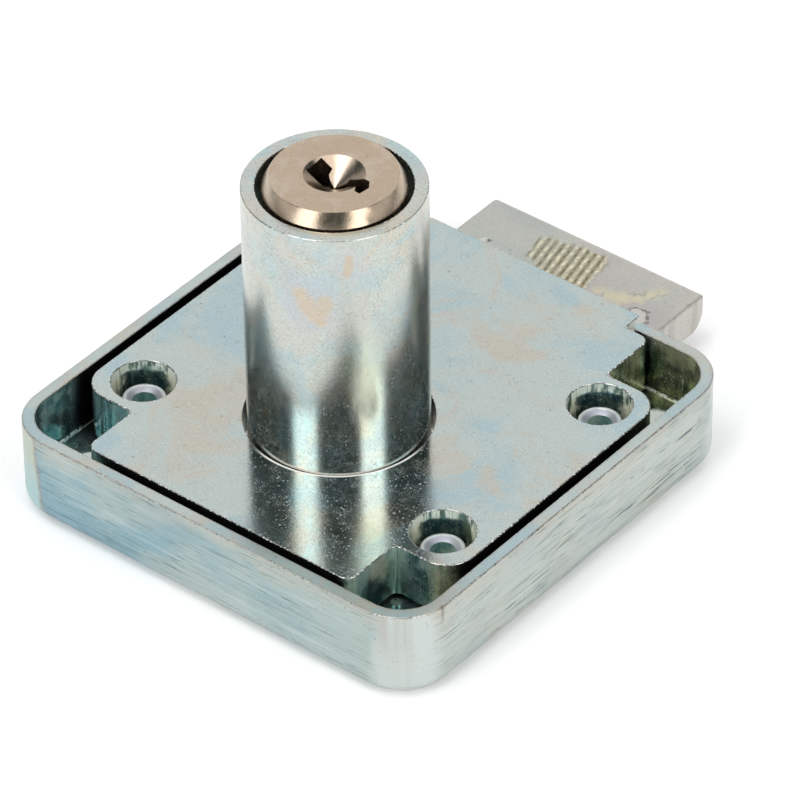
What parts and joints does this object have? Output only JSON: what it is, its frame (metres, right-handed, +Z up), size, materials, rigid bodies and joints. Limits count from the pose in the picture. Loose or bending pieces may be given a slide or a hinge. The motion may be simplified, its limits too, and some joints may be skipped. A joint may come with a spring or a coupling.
{
  "type": "surface-mounted furniture lock",
  "caption": "Shallow zinc-plated rim lock for furniture, with a long round cylinder neck, a keyed plug and a flat sliding bolt thrown by half a turn.",
  "frame": {"origin": "on the cylinder axis, in the plane of the case rim and the cover face, which is the plane that seats on the wood", "axes": "+Z up the cylinder neck to the key face; +Y the way the bolt comes out; +X to the right when +Y points away and +Z up"},
  "size_m": [0.0516, 0.0631, 0.0395],
  "materials": {
    "zinc_case": "bright zinc plated, linished sides",
    "zinc_cover": "bright zinc plated, speckled",
    "zinc_neck": "bright zinc plated, polished",
    "bolt_steel": "satin, with file marks",
    "nickel_brass": "warm nickel plate, satin face",
    "wafer_brass": "stamped",
    "spring_steel": "plain",
    "screw_steel": "zinc plated"
  },
  "bodies": {
    "lock_case": {"case": "zinc_case", "cover": "zinc_cover", "cover_screws": "screw_steel", "cylinder_housing": "zinc_neck"},
    "plug_body": {"plug": "nickel_brass", "plug_circlip": "spring_steel", "driver": "spring_steel", "crank_pin": "spring_steel", "driver_screw": "screw_steel", "wafer_spring_1": "spring_steel", "wafer_spring_2": "spring_steel", "wafer_spring_3": "spring_steel", "wafer_spring_4": "spring_steel", "wafer_spring_5": "spring_steel", "wafer_spring_6": "spring_steel", "wafer_spring_7": "spring_steel"},
    "bolt_body": {"bolt": "bolt_steel"},
    "wafer_body_1": {"wafer_1": "wafer_brass"},
    "wafer_body_2": {"wafer_2": "wafer_brass"},
    "wafer_body_3": {"wafer_3": "wafer_brass"},
    "wafer_body_4": {"wafer_4": "wafer_brass"},
    "wafer_body_5": {"wafer_5": "wafer_brass"},
    "wafer_body_6": {"wafer_6": "wafer_brass"},
    "wafer_body_7": {"wafer_7": "wafer_brass"}
  },
  "joints": [
    {"name": "plug_turn", "type": "hinge", "parent": "lock_case", "child": "plug_body", "pos_m": [0, 0, 0], "axis": [0, 0, -1], "range_deg": [0, 180]},
    {"name": "bolt_slide", "type": "slide", "parent": "lock_case", "child": "bolt_body", "axis": [0, -1, 0], "range_m": [0, 0.011]},
    {"name": "wafer_slide_1", "type": "slide", "parent": "plug_body", "child": "wafer_body_1", "axis": [1, 0, 0], "range_m": [0, 0.0008], "stiffness_N_per_m": 20, "springref_m": 0.0015, "deforming": ["wafer_spring_1"]},
    {"name": "wafer_slide_2", "type": "slide", "parent": "plug_body", "child": "wafer_body_2", "axis": [1, 0, 0], "range_m": [0, 0.0008], "stiffness_N_per_m": 20, "springref_m": 0.0015, "deforming": ["wafer_spring_2"]},
    {"name": "wafer_slide_3", "type": "slide", "parent": "plug_body", "child": "wafer_body_3", "axis": [1, 0, 0], "range_m": [0, 0.0008], "stiffness_N_per_m": 20, "springref_m": 0.0015, "deforming": ["wafer_spring_3"]},
    {"name": "wafer_slide_4", "type": "slide", "parent": "plug_body", "child": "wafer_body_4", "axis": [1, 0, 0], "range_m": [0, 0.0008], "stiffness_N_per_m": 20, "springref_m": 0.0015, "deforming": ["wafer_spring_4"]},
    {"name": "wafer_slide_5", "type": "slide", "parent": "plug_body", "child": "wafer_body_5", "axis": [1, 0, 0], "range_m": [0, 0.0008], "stiffness_N_per_m": 20, "springref_m": 0.0015, "deforming": ["wafer_spring_5"]},
    {"name": "wafer_slide_6", "type": "slide", "parent": "plug_body", "child": "wafer_body_6", "axis": [1, 0, 0], "range_m": [0, 0.0008], "stiffness_N_per_m": 20, "springref_m": 0.0015, "deforming": ["wafer_spring_6"]},
    {"name": "wafer_slide_7", "type": "slide", "parent": "plug_body", "child": "wafer_body_7", "axis": [1, 0, 0], "range_m": [0, 0.0008], "stiffness_N_per_m": 20, "springref_m": 0.0015, "deforming": ["wafer_spring_7"]}
  ],
  "couplings": [
    {"joint": "plug_turn", "follows": "bolt_slide", "rad_per_m": 285.6}
  ]
}
